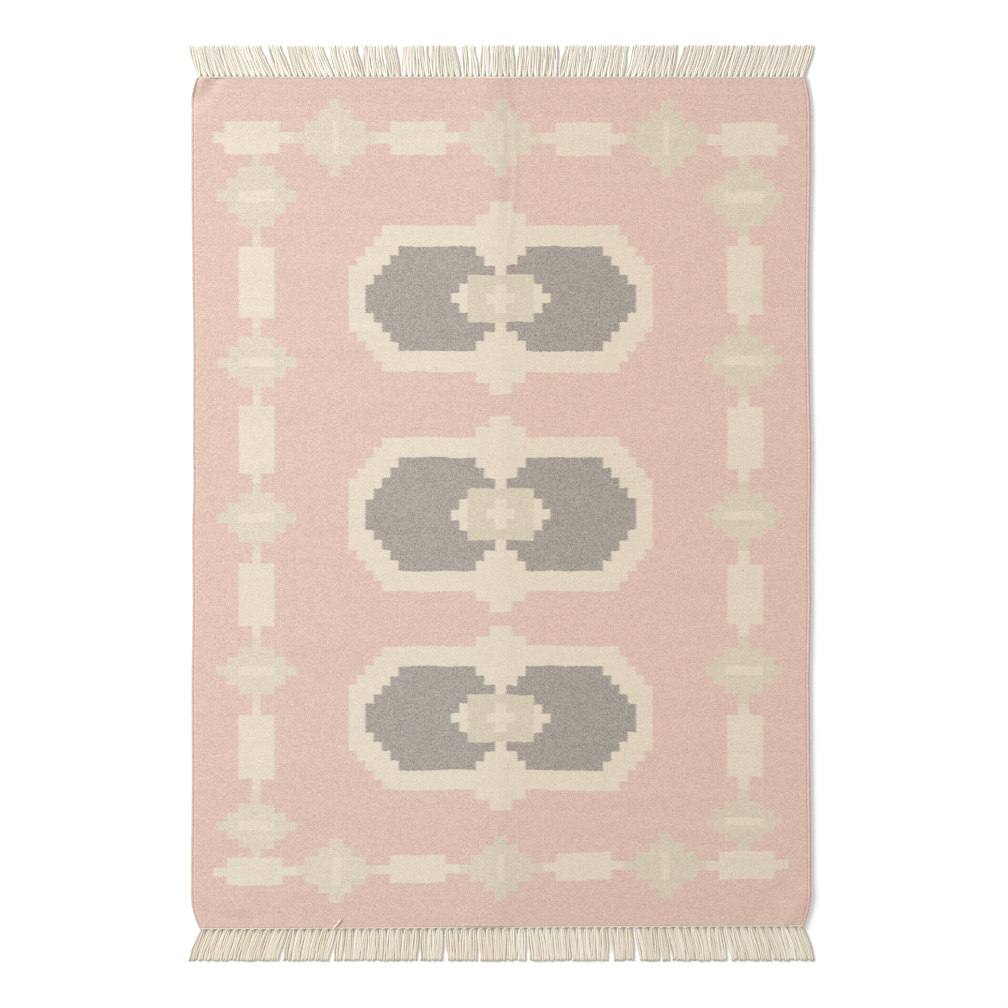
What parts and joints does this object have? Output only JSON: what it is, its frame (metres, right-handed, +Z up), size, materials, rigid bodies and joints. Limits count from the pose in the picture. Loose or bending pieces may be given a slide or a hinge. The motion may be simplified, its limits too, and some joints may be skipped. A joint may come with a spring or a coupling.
{
  "type": "flatweave rug",
  "caption": "Rectangular flatwoven wool rug with stepped medallions, a chain border and a cut yarn fringe at each short end, laid flat on a floor.",
  "frame": {"origin": "middle of the rug, on the floor it lies on", "axes": "+X across the rug to its right side, +Y along the rug to its far end, +Z up from the floor"},
  "size_m": [1.2188, 1.7838, 0.004],
  "materials": {
    "wool_weave": "matte",
    "fringe_yarn": "matte"
  },
  "bodies": {
    "root": {"rug_cloth": "wool_weave", "fringe_far": "fringe_yarn", "fringe_near": "fringe_yarn"}
  },
  "joints": []
}
